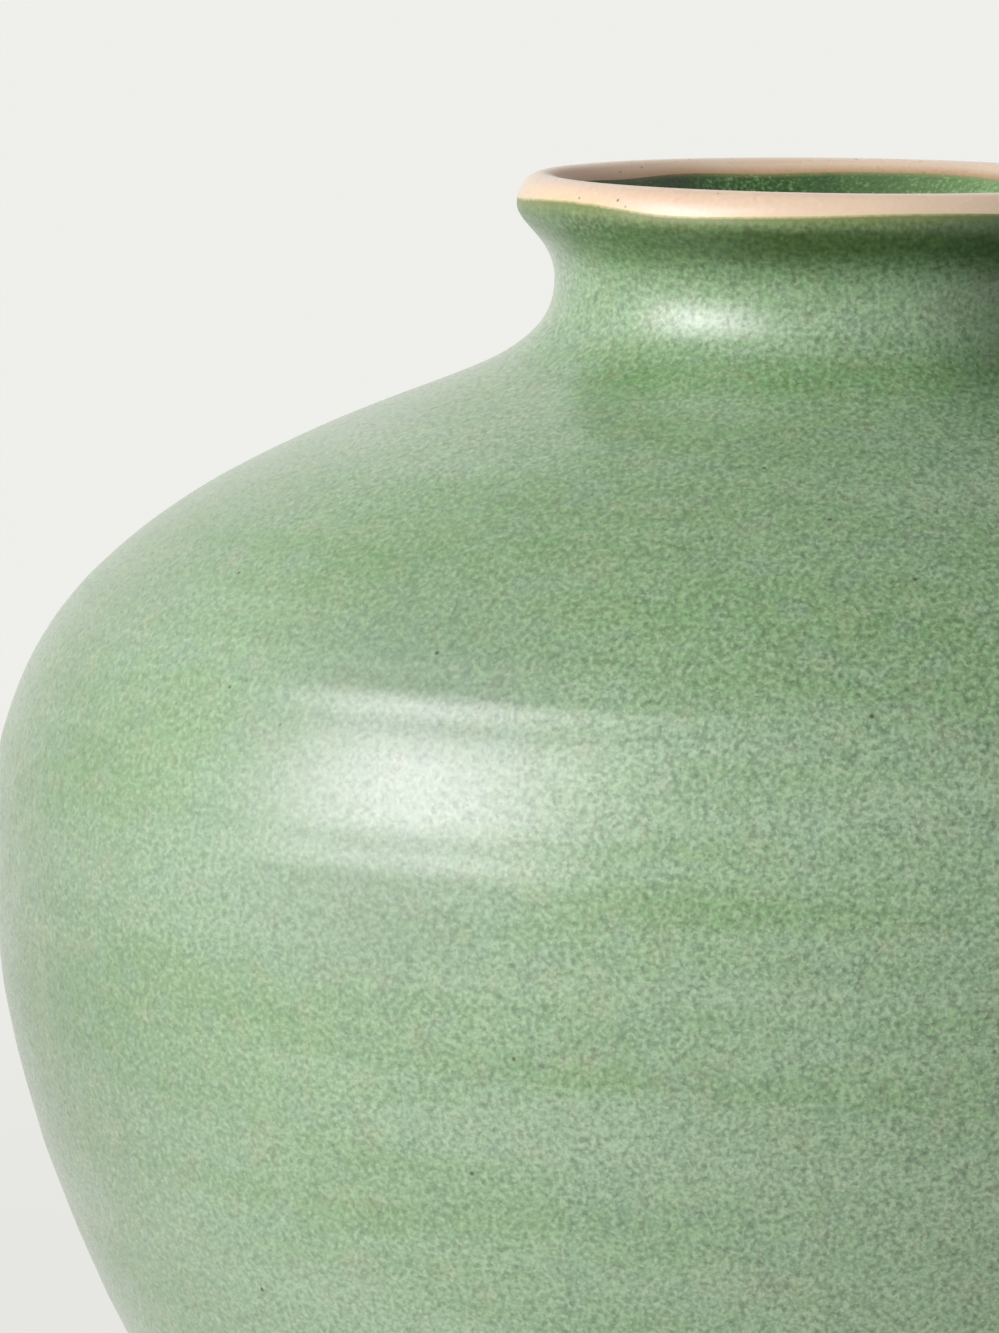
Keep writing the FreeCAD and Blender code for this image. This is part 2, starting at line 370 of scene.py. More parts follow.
def turnedMesh(name, rings, seam, shown, startPole=None, endPole=None, fields=None, closed=False, hidden=0):
    # rings is rings x columns x 3 in millimetres; seam is how far along its band each ring lies, 0 to 1
    # the strips that start at rings hidden to shown - 1 fill the visible bands of the UV map
    m = bakeMap
    ringCount, columns = rings.shape[:2]
    index = np.arange(ringCount * columns).reshape(ringCount, columns)
    stripCount = ringCount if closed else ringCount - 1
    low = np.arange(stripCount)
    high = (low + 1) % ringCount
    right = np.roll(index, -1, axis=1)
    quads = np.stack([index[low], right[low], right[high], index[high]], -1).reshape(-1, 4)
    column = np.arange(columns)
    half = columns // 2
    side = column // half
    seamLow, seamHigh = seam[:stripCount], np.append(seam[1:], 1.0)[:stripCount]
    isFace = (low >= hidden) & (low < shown)
    uv = np.zeros((stripCount, columns, 4, 2))
    for corner, (across, over) in enumerate(((0, 0), (1, 0), (1, 1), (0, 1))):
        u = (column - side * half) / half + across / half
        v = (seamHigh if over else seamLow)[:, None]
        faceV = v * m["band"] + side[None, :] * m["bandStep"]
        uv[:, :, corner, 0] = m["left"] + u[None, :] * m["width"]
        uv[:, :, corner, 1] = np.where(isFace[:, None], faceV, m["hidden"] + v * m["hiddenBand"])
    points = (rings.reshape(-1, 3) * mm).tolist()
    faces, uvs = quads.tolist(), uv.reshape(-1, 2).tolist()
    for pole, ring, flip in ((startPole, 0, True), (endPole, ringCount - 1, False)):
        if pole is None:
            continue
        points.append([0.0, 0.0, pole * mm])
        tip = len(points) - 1
        for a, b in zip(index[ring].tolist(), right[ring].tolist()):
            faces.append([tip, b, a] if flip else [a, b, tip])
            uvs += [m["pole"]] * 3
    mesh = bpy.data.meshes.new(name)
    mesh.from_pydata(points, [], faces)
    mesh.uv_layers.new(name="OFBake").data.foreach_set("uv", np.array(uvs, np.float32).ravel())
    for field, values in (fields or {}).items():
        # a field's first row belongs to the first visible ring, and it is nought on the hidden rings
        whole = np.zeros(len(points), np.float32)
        first = hidden * columns
        whole[first:first + values.size] = values.ravel()
        mesh.attributes.new(field, "FLOAT", "POINT").data.foreach_set("value", whole)
    return newPiece(name, mesh, sharpAngle)


def newPiece(name, mesh, sharp):
    mesh.polygons.foreach_set("use_smooth", [True] * len(mesh.polygons))
    mesh.set_sharp_from_angle(angle=math.radians(sharp))
    mesh.update()
    piece = bpy.data.objects.new(name, mesh)
    bpy.context.scene.collection.objects.link(piece)
    return piece


def around(columns):
    return np.arange(columns) * fullTurn / columns


def spin(radius, height, turn):
    return np.stack([radius * np.cos(turn), radius * np.sin(turn), height + 0 * turn], -1)


def steps(*stretches):
    # places along the path: each stretch is (start, end, spacing), and the last end is kept
    places = []
    for start, end, spacing in stretches:
        count = max(1, int(round(abs(end - start) / spacing)))
        places.extend(np.linspace(start, end, count, endpoint=False))
    return np.array(places + [stretches[-1][1]])[:, None]


def evenly(rings):
    return np.linspace(0, 1, len(rings))


def dressed(piece, node, material):
    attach(piece, "root")
    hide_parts(node)
    piece.data.materials.append(material)
    return piece


outerGlaze = {
    "columns": 260,
    "bodySpacing": 1.75,
    "markSpacing": 0.8,
    "markReach": (214.0, 257.0),
    "neckSpacing": 0.8,
    "neckStart": 292.0,
    "edgeSpacing": 0.14,
    "edgeReach": 2.4,
    "backSpacing": 9.0,
    "neckBackSpacing": 2.2,
    "neckBackStart": 268.0,
    "bead": 0.30,        # how far the glaze swells just above its lower edge
    "beadPlace": 1.1,
    "beadWidth": 0.8,
    "edgeRound": 0.7,
    "edgeLeast": 0.02,
    "marksStart": (1.0, 8.0),
}


def makeOuterGlaze(material):
    o = outerGlaze
    turn = around(o["columns"])

    def wandering(places):
        # the ends follow the heel line and the lip line, and between them the rings lie level
        heelShare = 1 - between(places, heelLine, heelLine + lines["fade"])
        lipShare = between(places, lipLine - lines["fade"], lipLine)
        return places + wave("heel", turn) * heelShare + wave("lip", turn) * lipShare

    heelEdge, lipEdge = heelLine + o["edgeReach"], lipLine - o["edgeReach"]
    markStart, markEnd = (placeAt(height) for height in o["markReach"])
    neckPlace, hollowPlace = placeAt(o["neckStart"]), placeAt(o["neckBackStart"])
    base = steps(
        (heelLine, heelEdge, o["edgeSpacing"]),
        (heelEdge, markStart, o["bodySpacing"]),
        (markStart, markEnd, o["markSpacing"]),
        (markEnd, neckPlace, o["bodySpacing"]),
        (neckPlace, lipEdge, o["neckSpacing"]),
        (lipEdge, lipLine, o["edgeSpacing"]),
    )
    along = wandering(base)
    footGap = along - (heelLine + wave("heel", turn))
    lipGap = lipLine + wave("lip", turn) - along
    rounded = np.sqrt(np.clip(1 - (1 - np.clip(footGap / o["edgeRound"], 0, 1)) ** 2, o["edgeLeast"], 1))
    bead = o["bead"] * np.exp(-((footGap - o["beadPlace"]) / o["beadWidth"]) ** 2)
    marks = outsideMarks(follow(along)[1], turn) * between(footGap, *o["marksStart"])
    front = spin(*follow(along, (coatAt(along) + bead) * rounded + marks), turn)
    back = steps(
        (lipLine, hollowPlace, o["neckBackSpacing"]), (hollowPlace, heelLine, o["backSpacing"]),
    )
    rings = np.concatenate([front, spin(*follow(wandering(back)), turn)])
    seam = np.concatenate([(base[:, 0] - heelLine) / (lipLine - heelLine), evenly(back)])
    piece = turnedMesh(
        "outerGlaze", rings, seam, len(base) - 1, closed=True, fields={"footGap": footGap, "lipGap": lipGap},
    )
    return dressed(piece, "outer_glaze", material)


lipGlaze = {
    "columns": 260,
    "spacing": 0.3,
    "edgeSpacing": 0.12,
    "edgeReach": 1.5,
    "backSpacing": 1.6,
    "sway": 0.10,
    "swayStart": 0.7,
    "outerFade": (0, 0.6),     # shares of the way over the lip
    "innerFade": (0.4, 1),
    "marksFade": (0, 0.3),
}


def makeLipGlaze(material):
    o = lipGlaze
    turn = around(o["columns"])

    def shareOver(places):
        return (places - lipLine) / (innerLine - lipLine)

    def wandering(places):
        outerShare = 1 - between(shareOver(places), *o["outerFade"])
        innerShare = between(shareOver(places), *o["innerFade"])
        return places + (wave("lip", turn) * outerShare + wave("inner", turn) * innerShare)

    base = steps(
        (lipLine, lipLine + o["edgeReach"], o["edgeSpacing"]),
        (lipLine + o["edgeReach"], innerLine - o["edgeReach"], o["spacing"]),
        (innerLine - o["edgeReach"], innerLine, o["edgeSpacing"]),
    )
    share = shareOver(base)
    along = wandering(base)
    outerGap = along - (lipLine + wave("lip", turn))
    innerGap = innerLine + wave("inner", turn) - along
    marks = np.where(along < path["ridge"], outsideMarks(follow(along)[1], turn), 0)
    marks = marks * (1 - between(share, *o["marksFade"]))
    sway = -o["sway"] * (0.5 + 0.5 * np.cos(2 * turn + o["swayStart"])) * np.sin(math.pi * share)
    front = spin(*follow(along, coatAt(along) + marks + sway), turn)
    back = steps((innerLine, lipLine, o["backSpacing"]))
    rings = np.concatenate([front, spin(*follow(wandering(back)), turn)])
    seam = np.concatenate([share[:, 0], evenly(back)])
    piece = turnedMesh(
        "lipGlaze", rings, seam, len(base) - 1, closed=True,
        fields={"outerGap": outerGap, "innerGap": innerGap},
    )
    return dressed(piece, "lip_glaze", material)


innerGlaze = {
    "columns": 240,
    "spacing": 2.2,
    "edgeSpacing": 0.16,
    "edgeReach": 3.2,
    "backSpacing": 14.0,
    "pole": 1.5,
    "marksStart": (20, 60),
}


def makeInnerGlaze(material):
    o = innerGlaze
    turn = around(o["columns"])

    def wandering(places):
        return places + wave("inner", turn) * (1 - between(places, innerLine, innerLine + lines["fade"]))

    edge, middle = innerLine + o["edgeReach"], floorMiddle - o["pole"]
    base = steps((innerLine, edge, o["edgeSpacing"]), (edge, middle, o["spacing"]))
    along = wandering(base)
    lipGap = along - (innerLine + wave("inner", turn))
    marksNear, marksFar = (innerLine + value for value in o["marksStart"])
    marks = insideMarks(follow(along)[1], turn) * between(along, marksNear, marksFar)
    radius, height = follow(along, coatAt(along) + marks)
    back = steps((middle, innerLine, o["backSpacing"]))
    backRadius, backHeight = follow(wandering(back))
    # opened at the floor's middle: the two faces each close on a pole there, and meet at the lip line
    rings = np.concatenate([spin(backRadius, backHeight, turn), spin(radius, height, turn)])
    seam = np.concatenate([evenly(back), (base[:, 0] - innerLine) / (floorMiddle - innerLine)])
    piece = turnedMesh(
        "innerGlaze", rings, seam, len(rings), hidden=len(back),
        startPole=float(backHeight[0, 0]), endPole=float(height[-1].mean()), fields={"lipGap": lipGap},
    )
    return dressed(piece, "inner_glaze", material)


lowerBody = {
    "columns": 240,
    "underRings": 150,
    "middleRadius": 1.0,
    "grooveSpacing": 2.6,
    "grooveDepth": 0.16,
    "grooveStart": (3.0, 9.0),
    "recess": (50.0, 54.5),   # the trimmed recess fades out between these radii
    "dishRadius": 55.0,
    "dishDepth": 0.5,
    "button": (7.0, 0.35),    # the stub left at the middle by the trimming tool: radius, height
    "buttonTop": 0.6,
    "heelRings": (0.1, 6),    # share of the quarter turn where the heel starts, and how many
    "bareStart": 0.2,
    "bareReach": 3.0,
    "bareSpacing": 0.35,
    "underGlaze": 1.0,        # how far the fine rings and their marks run on under the glaze
    "markDepth": 0.05,
    "markSpacing": 1.9,
    "hiddenSpacing": 9.0,
    "pole": 1.5,
}


def makeLowerBody(material):
    o = lowerBody
    turn = around(o["columns"])
    low, high = box("lower_body")
    bevel = outline["heelBevel"]
    heelRadius = outline["footRadius"] - bevel
    under = np.linspace(o["middleRadius"], heelRadius, o["underRings"])[:, None]
    spiral = np.cos(fullTurn * under / o["grooveSpacing"] + turn)
    dish = o["dishDepth"] * np.cos(np.clip(under / o["dishRadius"], 0, 1) * math.pi / 2)
    buttonRadius, buttonHeight = o["button"]
    button = buttonHeight * (1 - between(under, buttonRadius * o["buttonTop"], buttonRadius))
    grooves = o["grooveDepth"] * (1 + spiral) * between(under, *o["grooveStart"])
    lift = (1 - between(under, *o["recess"])) * (dish - button + grooves)
    underside = spin(under, low.z + np.maximum(lift, 0), turn)
    heelStart, heelCount = o["heelRings"]
    arc = np.linspace(heelStart, 1, heelCount)[:, None] * math.pi / 2
    heel = spin(heelRadius + bevel * np.sin(arc), low.z + bevel * (1 - np.cos(arc)), turn)
    joint = box("body_joint_slip")[0].z
    bareEnd = heelLine + o["bareReach"]
    bare = steps((o["bareStart"], bareEnd, o["bareSpacing"]), (bareEnd, placeAt(joint), o["hiddenSpacing"]))
    radius, height = follow(bare)
    fine = bare < heelLine + o["underGlaze"]
    ripples = np.cos(fullTurn * height / o["markSpacing"] + turn)
    marks = o["markDepth"] * ripples * fine - o["markDepth"] * fine
    wall = spin(radius + marks, height, turn)
    # the tongue stands halfway between the outer and the inner face
    insideTop = placeAt(high.z, True)
    tongueRadius = (radius[-1, 0] + float(follow(insideTop)[0])) / 2
    tongue = spin(np.full((2, 1), tongueRadius), np.array([[joint], [high.z]]), turn)
    inside = steps((insideTop, floorMiddle - o["pole"], o["hiddenSpacing"]))
    insideRadius, insideHeight = follow(inside)
    rings = np.concatenate([underside, heel, wall, tongue, spin(insideRadius, insideHeight, turn)])
    # the strip above the last shown ring counts as shown too, and its UV lies over the whole map
    shown = len(underside) + len(heel) + int(fine.sum())
    seam = np.concatenate([evenly(rings[:shown]), evenly(rings[shown:])])
    piece = turnedMesh(
        "lowerBody", rings, seam, shown,
        startPole=float(underside[0, 0, 2]), endPole=float(insideHeight[-1, 0]),
    )
    return dressed(piece, "lower_body", material)


footRing = {
    "columns": 240,
    "width": 13.0,
    "spacing": 0.4,
    "edgeRound": 1.3,     # sponged soft
    "edgePoints": 9,
    "topPoints": 5,
    "turning": 0.07,
    "turningSpacing": 1.7,
    "wander": 0.12,
    "wanderTurns": 3,
    "wanderClimb": 0.4,   # radians for each millimetre up
    "calmTop": 1.0,
    "sideReach": 1.4,     # the marks are on the two sides, and fade out over this width
}


def roundedSection(inner, outer, bottom, top):
    # a closed section with two rounded lower corners, running along the bottom, up outside and down inside
    corner = footRing["edgeRound"]
    arc = np.linspace(0, quarterTurn, footRing["edgePoints"])
    bend, rise = corner * np.sin(arc), bottom + corner - corner * np.cos(arc)
    level = int((outer - inner) / footRing["spacing"])
    upright = int((top - bottom) / footRing["spacing"])
    climb = np.linspace(bottom + corner, top, upright)
    over = np.linspace(outer, inner, footRing["topPoints"])
    stretches = [
        (np.linspace(inner + corner, outer - corner, level), np.full(level, bottom)),
        (outer - corner + bend, rise),
        (np.full(upright, outer), climb),
        (over, np.full(len(over), top)),
        (np.full(upright, inner), climb[::-1]),
        ((inner + corner - bend)[::-1], rise[::-1]),
    ]
    # each stretch leaves its last point to the next one
    return np.concatenate([np.stack(stretch, 1)[:-1] for stretch in stretches])


def makeFootRing(material):
    o = footRing
    turn = around(o["columns"])
    low, high = box("foot_ring")
    inner = -box("foot_joint_slip")[0].x - o["width"]
    section = roundedSection(inner, high.x, low.z, high.z)
    radius, height = section[:, :1], section[:, 1:]
    nearTop = between(height, high.z - o["calmTop"], high.z)
    cut = o["turning"] * (1 + np.cos(fullTurn * height / o["turningSpacing"] + turn)) / 2
    drift = np.cos(o["wanderTurns"] * turn + height * o["wanderClimb"])
    wander = o["wander"] * (1 + drift) / 2 * (1 - nearTop)
    middle, half = (inner + high.x) / 2, (high.x - inner) / 2
    onSide = between(np.abs(radius - middle), half - o["sideReach"], half)
    rings = spin(radius + np.sign(middle - radius) * onSide * (cut + wander), height, turn)
    piece = turnedMesh("footRing", rings, evenly(rings), len(rings), closed=True)
    return dressed(piece, "foot_ring", material)


footJointSlip = {
    "columns": 240,
    "fillet": 0.55,
    "unevenness": 0.22,
    "lumps": [(0.6, 5, 1), (0.4, 13, 0), (0.35, 31, 2)],   # share, times around, start
    "arcPoints": 7,
    "overlap": 0.1,       # the fillets start this far inside the ring's sides, the flat face twice as far
}


def makeFootJointSlip(material):
    # the squeezed-out slip is wiped to a small uneven fillet on both sides of the ring
    o = footJointSlip
    turn = around(o["columns"])
    low, high = box("foot_joint_slip")
    outer, inner = high.x, high.x - footRing["width"]
    lumps = sum(share * np.cos(times * turn + start) for share, times, start in o["lumps"])
    size = o["fillet"] * (1 + o["unevenness"] / o["fillet"] * lumps)
    arc = np.linspace(0, quarterTurn, o["arcPoints"])[:, None]
    reach, drop = 1 - np.cos(arc), 1 - np.sin(arc)
    height = low.z - size * drop * (1 - reach) + (high.z - low.z) * reach
    outside = spin(outer - o["overlap"] + size * reach, height, turn)
    inside = spin(inner + o["overlap"] - size * reach, height, turn)[::-1]
    flatEnds = np.array([[inner + 2 * o["overlap"]], [outer - 2 * o["overlap"]]])
    flat = spin(flatEnds, np.full((2, 1), low.z), turn)
    rings = np.concatenate([flat, outside, inside])
    piece = turnedMesh("footJointSlip", rings, evenly(rings), len(rings), closed=True)
    return dressed(piece, "foot_joint_slip", material)


feltPads = {
    "count": 4,
    "circle": 62.0,
    "firstAngle": 45.0,
    "radius": 5.0,
    "columns": 64,
    "spacing": 0.44,
    "edgeRound": 0.45,
    "edgePoints": 6,
    "topMiddle": 0.8,
    "topPoints": 5,
    "fuzz": 0.07,
    "fuzzGrain": 0.55,
    "sharp": 60.0,
}


def makeFeltPads(material):
    o = feltPads
    low, high = box("felt_pads")
    bottom, top = low.z + o["fuzz"], high.z
    corner = o["edgeRound"]
    rim = o["radius"] - o["fuzz"]
    flat = rim - corner
    arc = np.linspace(0, quarterTurn, o["edgePoints"])
    profile = [(r, bottom) for r in np.arange(o["spacing"], flat, o["spacing"])]
    profile += [(flat + corner * math.sin(a), bottom + corner - corner * math.cos(a)) for a in arc]
    profile += [(rim, z) for z in np.linspace(bottom + corner, top, o["edgePoints"])[1:]]
    profile += [(r, top) for r in np.linspace(rim, o["topMiddle"], o["topPoints"])[1:]]
    points, faces = [], []
    for pad in range(o["count"]):
        angle = math.radians(o["firstAngle"] + 360.0 / o["count"] * pad)
        centre = Vector((o["circle"] * math.cos(angle), o["circle"] * math.sin(angle), 0))
        rows = []
        for radius, height in profile:
            rows.append(range(len(points), len(points) + o["columns"]))
            for column in range(o["columns"]):
                turn = fullTurn * column / o["columns"]
                point = Vector((radius * math.cos(turn), radius * math.sin(turn), height)) + centre
                push = noise.noise(point / o["fuzzGrain"]) * o["fuzz"]
                if height < top:
                    outward = (math.cos(turn), math.sin(turn), 0)
                    point += Vector(outward if height > bottom else (0, 0, -1)) * push
                points.append(point * mm)
        for lower, upper in zip(rows, rows[1:]):
            for column in range(o["columns"]):
                after = (column + 1) % o["columns"]
                faces.append((lower[column], lower[after], upper[after], upper[column]))
        faces += [tuple(reversed(rows[0])), tuple(rows[-1])]
    mesh = bpy.data.meshes.new("feltPads")
    mesh.from_pydata([tuple(p) for p in points], [], faces)
    return dressed(newPiece("feltPads", mesh, o["sharp"]), "felt_pads", material)


# green stoneware glaze, sprayed and fired to a satin: a fine crystal grain over drifting bands of green,
# broken to straw and olive where it runs thin at the lip

greenGlaze = {
    "bandDeep": "#6b9959",
    "bandPale": "#8fad88",
    "leftDeep": "#4a7038",
    # partly the glaze's own deeper green, partly painted shade on the left flank
    "teal": "#7f9f88",
    "warm": "#a0a380",
    "pale": "#a9c09c",       # the crystals themselves
    "olive": "#757b3a",
    "straw": "#cfc48f",
    # glaze pooled at the foot, and the same colour as painted shade under the lip
    "pooledAndShade": "#36530e",
    # painted shade on the neck's right side
    "neckRightShade": "#1a4622",
    # painted sheen: the grey laid where the key light's highlight falls
    "sheenGrey": "#77857a",
    "iron": "#3a2e22",
    "tilt": (0.02, -0.035, 0.0),
    "band": 26.0,
    "bandDrawn": (0.16, 0.16, 1.0),
    "bandReach": (0.30, 0.70),
    "streak": 5.0,
    "streakDrawn": (0.05, 0.05, 1.0),
    "streakReach": (0.25, 0.75, -0.2, 0.2),
    "shoulderReach": (228.0, 266.0, 0.16, -0.02),
    "neckReach": (280.0, 298.0, 0.0, 0.12),
    "grain": 0.9,
    "grainDrawn": (1.0, 0.62, 1.0),
    "grainReach": (0.25, 0.75, -0.50, 0.33),
    "grainSideReach": (-130.0, 30.0, 0.62, 1.12),
    "crystal": 0.8,
    "crystalReach": (0.5, 0.74),
    "amountReach": (0.0, 1.0, 0.45, 0.9),
    "crystalLeftDeep": -0.5,
    "patch": 7.0,
    "tealReach": (0.5, 0.75, 0.0, 0.4),
    "warmReach": (0.54, 0.78, 0.0, 0.35),
    "leftDeepPlace": (188.0, 186.0),   # degrees around, height
    "leftDeepReach": (15.0, 120.0, 0.7, 0.0),
    "edgeBroken": 0.5,
    "strawReach": (0.25, 0.75, 0.9, 0.0),
    "oliveReach": (0.5, 3.8, 0.9, 0.0),
    "underLipReach": (0.2, 3.2, 0.0, 0.88),
    "underNeckReach": (5.5, 15.0, 1.0, 0.0),
    "gatheredShadeReach": (-55.0, -15.0, 0.4, 1.0),
    "neckShadeSideReach": (8.0, 44.0, 0.0, 0.88),
    "neckShadeHeightReach": (284.0, 298.0),
    "sheenPlace": (-72.0, -118.0, 232.0),
    "sheenReach": (8.0, 48.0, 0.4, 0.0),
    "rollReach": (0.3, 6.0, 0.7, 0.0),
    "speckSpacing": 14.0,
    "speckRadius": 0.4,
    "speckEdge": (0.6, 1.4),
    "speckShare": 0.85,
    "ripple": 3.2,
    "rippleShare": 2.5,
    "relief": 0.15,
    "reliefDepth": 0.1,
    "roughnessReach": (0.3, 0.7, 0.39, 0.50),
    "specular": 0.45,
    "ior": 1.5,
    "dryReach": (2.0, 9.0, 0.75, 0.0),
    "meltReach": (0.0, 1.0, 1.0, 0.0),
    "glossReach": (0.32, 0.52, 0.68),
    "coatRoughness": 0.23,
    "coatIor": 1.64,
}


def greenGlazeMaterial():
    g = greenGlaze
    smooth = {"interpolation_type": "SMOOTHSTEP"}
    material, tree, place = newMaterial("reactiveGreenStonewareGlazeSprayed")
    height = node(tree, "SeparateXYZ", {"Vector": place}, give="Z")
    sideways = node(tree, "SeparateXYZ", {"Vector": place}, give="X")
    lipGap = node(tree, "Attribute", give="Fac", attribute_name="lipGap")
    footGap = node(tree, "Attribute", give="Fac", attribute_name="footGap")
    # broad bands lie almost level, so they are drawn wide around and narrow up the vase
    level = node(tree, "Mapping", {"Vector": place, "Rotation": g["tilt"], "Scale": g["bandDrawn"]})
    band = node(
        tree, "TexNoise", {"Vector": level, "Scale": perMm(g["band"]), "Detail": 3.0, "Roughness": 0.55},
    )
    bandShare = node(tree, "MapRange", {"Value": band}, reach=g["bandReach"])
    level = node(tree, "Mapping", {"Vector": place, "Rotation": g["tilt"], "Scale": g["streakDrawn"]})
    streak = node(tree, "TexNoise", {"Vector": level, "Scale": perMm(g["streak"]), "Detail": 2.0})
    streakShift = node(tree, "MapRange", {"Value": streak}, reach=g["streakReach"])
    bandShare = node(tree, "Math", {0: bandShare, 1: streakShift}, operation="ADD")
    # the tone shifts up the shoulder and again up the neck
    for name in ("shoulderReach", "neckReach"):
        shift = node(tree, "MapRange", {"Value": height}, reach=inMm(g[name]), **smooth)
        bandShare = node(tree, "Math", {0: bandShare, 1: shift}, operation="ADD", use_clamp=True)
    # the grain is drawn out a little from front to back, and is fainter towards the left
    drawn = node(tree, "Mapping", {"Vector": place, "Scale": g["grainDrawn"]})
    grain = node(tree, "TexNoise", {"Vector": drawn, "Scale": perMm(g["grain"]), "Detail": 2.0})
    grainLift = node(tree, "MapRange", {"Value": grain}, reach=g["grainReach"])
    grainSide = node(tree, "MapRange", {"Value": sideways}, reach=inMm(g["grainSideReach"]))
    grainLevel = node(tree, "Math", {0: grainLift, 1: grainSide, 2: 1.0}, operation="MULTIPLY_ADD")
    patch = node(tree, "TexNoise", {"Vector": place, "Scale": perMm(g["patch"]), "Detail": 2.0}, give="Color")
    patches = node(tree, "SeparateColor", {"Color": patch}).node.outputs
    tealShare = node(tree, "MapRange", {"Value": patches[0]}, reach=g["tealReach"])
    warmShare = node(tree, "MapRange", {"Value": patches[1]}, reach=g["warmReach"])
    # a broad patch on the left flank, where the key light falls most, is a deeper, fuller green: partly the
    # glaze's own patch, partly painted shade
    leftDeepTurn, leftDeepHeight = g["leftDeepPlace"]
    leftDeepRadius = float(follow(placeAt(leftDeepHeight))[0])
    angle = math.radians(leftDeepTurn)
    middle = (leftDeepRadius * math.cos(angle) * mm, leftDeepRadius * math.sin(angle) * mm, leftDeepHeight * mm)
    away = node(tree, "VectorMath", {0: place, 1: middle}, give="Value", operation="DISTANCE")
    leftDeepShare = node(tree, "MapRange", {"Value": away}, reach=inMm(g["leftDeepReach"]), **smooth)
    # pale crystals stand as small bright grains, where a second noise is high, and fewer on the deeper left
    # patch
    crystal = node(tree, "TexNoise", {"Vector": drawn, "Scale": perMm(g["crystal"]), "Detail": 1.0})
    crystalShare = node(tree, "MapRange", {"Value": crystal}, reach=g["crystalReach"])
    amount = node(tree, "MapRange", {"Value": bandShare}, reach=g["amountReach"])
    amount = node(tree, "Math", {0: leftDeepShare, 1: g["crystalLeftDeep"], 2: amount}, operation="MULTIPLY_ADD")
    amount = node(tree, "Math", {0: amount, 1: grainSide}, operation="MULTIPLY")
    crystalShare = node(tree, "Math", {0: crystalShare, 1: amount}, operation="MULTIPLY")
    # thin edge at the lip: straw, then olive, then green, with the grain breaking up each border
    broken = node(tree, "Math", {0: grain, 1: g["edgeBroken"], 2: lipGap}, operation="MULTIPLY_ADD")
    strawShare = node(tree, "MapRange", {"Value": broken}, reach=g["strawReach"])
    oliveShare = node(tree, "MapRange", {"Value": broken}, reach=g["oliveReach"])
    # dark under the lip's overhang: partly glaze gathered there, partly painted shade under the overhang,
    # deeper towards the right
    underLip = node(tree, "MapRange", {"Value": lipGap}, reach=g["underLipReach"], **smooth)
    underNeck = node(tree, "MapRange", {"Value": lipGap}, reach=g["underNeckReach"], **smooth)
    gatheredAndShade = node(tree, "Math", {0: underLip, 1: underNeck}, operation="MULTIPLY")
    gatheredShadeSide = node(tree, "MapRange", {"Value": sideways}, reach=inMm(g["gatheredShadeReach"]))
    gatheredAndShade = node(tree, "Math", {0: gatheredAndShade, 1: gatheredShadeSide}, operation="MULTIPLY")
    # painted shade: darker on the neck's right side, where the key light turns away
    neckShadeSide = node(tree, "MapRange", {"Value": sideways}, reach=inMm(g["neckShadeSideReach"]), **smooth)
    neckShadeHeight = node(tree, "MapRange", {"Value": height}, reach=inMm(g["neckShadeHeightReach"]), **smooth)
    neckRightShade = node(tree, "Math", {0: neckShadeSide, 1: neckShadeHeight}, operation="MULTIPLY")
    # painted sheen: a greyer patch on the upper belly's left front, where the key light's highlight falls, so
    # the highlight looks whiter
    sheenPlace = tuple(value * mm for value in g["sheenPlace"])
    away = node(tree, "VectorMath", {0: place, 1: sheenPlace}, give="Value", operation="DISTANCE")
    sheenShare = node(tree, "MapRange", {"Value": away}, reach=inMm(g["sheenReach"]), **smooth)
    # thick roll at the foot
    rollShare = node(tree, "MapRange", {"Value": footGap}, reach=g["rollReach"])
    colour = layered(
        tree, g["bandDeep"], g,
        (bandShare, "bandPale"), (leftDeepShare, "leftDeep"), (tealShare, "teal"), (warmShare, "warm"),
    )
    # the grain lightens and darkens without changing hue
    colour = node(tree, "VectorMath", {0: colour, "Scale": grainLevel}, operation="SCALE")
    colour = layered(
        tree, colour, g, (crystalShare, "pale"), (oliveShare, "olive"), (strawShare, "straw"),
        (gatheredAndShade, "pooledAndShade"), (neckRightShade, "neckRightShade"),
    )
    # the grain still shows in the gathered glaze and painted shade under the lip
    grainOff = node(tree, "Math", {0: grainLevel, 1: 1.0}, operation="SUBTRACT")
    gatheredShadeLevel = node(tree, "Math", {0: gatheredAndShade, 1: grainOff, 2: 1.0}, operation="MULTIPLY_ADD")
    colour = node(tree, "VectorMath", {0: colour, "Scale": gatheredShadeLevel}, operation="SCALE")
    # iron specks from the clay come last, one in a few square centimetres
    iron = specks(tree, place, g)
    colour = layered(tree, colour, g, (sheenShare, "sheenGrey"), (rollShare, "pooledAndShade"), (iron, "iron"))
    roughness = node(tree, "MapRange", {"Value": grain}, reach=g["roughnessReach"])
    # orange peel and crystal relief
    ripple = node(tree, "TexNoise", {"Vector": place, "Scale": perMm(g["ripple"]), "Detail": 1.0})
    relief = node(tree, "Math", {0: ripple, 1: g["rippleShare"], 2: grain}, operation="MULTIPLY_ADD")
    bump = node(tree, "Bump", {"Height": relief, "Strength": g["relief"], "Distance": g["reliefDepth"] * mm})
